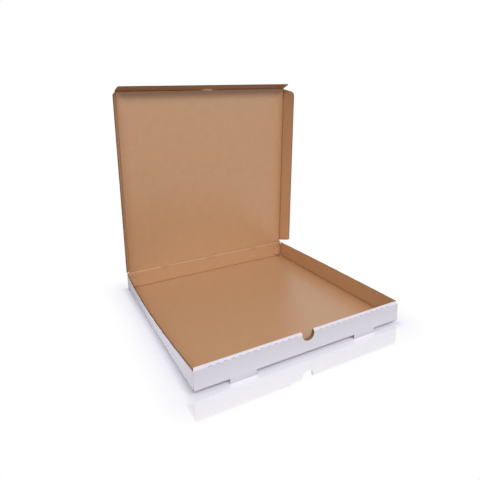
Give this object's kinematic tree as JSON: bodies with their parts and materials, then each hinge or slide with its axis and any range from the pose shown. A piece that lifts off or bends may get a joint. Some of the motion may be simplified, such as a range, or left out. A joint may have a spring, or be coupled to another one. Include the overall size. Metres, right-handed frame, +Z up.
{
  "type": "pizza box",
  "caption": "Low square folding box of thin corrugated card, white outside and brown inside, with a hinged lid standing open and a thumb notch in its roll-over front wall.",
  "frame": {"origin": "middle of the tray's underside, on the outer face of the base panel", "axes": "+Z up, -Y towards the front wall with the thumb notch, +X to the right seen from the front"},
  "size_m": [0.3326, 0.3236, 0.359],
  "materials": {
    "kraft_card": "matte brown inner liner",
    "white_liner": "smooth matte white outer liner",
    "fluting": "raw brown fluting"
  },
  "bodies": {
    "tray": {"tray": "kraft_card"},
    "lid": {"lid": "kraft_card"},
    "lid_front_flap": {"lid_front_flap": "kraft_card"},
    "lid_left_flap": {"lid_left_flap": "kraft_card"},
    "lid_right_flap": {"lid_right_flap": "kraft_card"}
  },
  "joints": [
    {"name": "lid_hinge", "type": "hinge", "parent": "tray", "child": "lid", "pos_m": [0, 0.1616, 0.0312], "axis": [-1, 0, 0], "range_deg": [-86, 94]},
    {"name": "front_flap_fold", "type": "hinge", "parent": "lid", "child": "lid_front_flap", "pos_m": [0, 0.13947, 0.34763], "axis": [1, 0, 0], "range_deg": [-73, 22]},
    {"name": "left_flap_fold", "type": "hinge", "parent": "lid", "child": "lid_left_flap", "pos_m": [-0.159, 0.1616, 0.0312], "axis": [0, -0.0698, 0.9976], "range_deg": [-72, 41]},
    {"name": "right_flap_fold", "type": "hinge", "parent": "lid", "child": "lid_right_flap", "pos_m": [0.159, 0.1616, 0.0312], "axis": [0, 0.0698, -0.9976], "range_deg": [-79, 33]}
  ],
  "couplings": [
    {"joint": "front_flap_fold", "follows": "lid_hinge", "ratio": -0.2442},
    {"joint": "left_flap_fold", "follows": "lid_hinge", "ratio": -0.4651},
    {"joint": "right_flap_fold", "follows": "lid_hinge", "ratio": -0.3721}
  ]
}
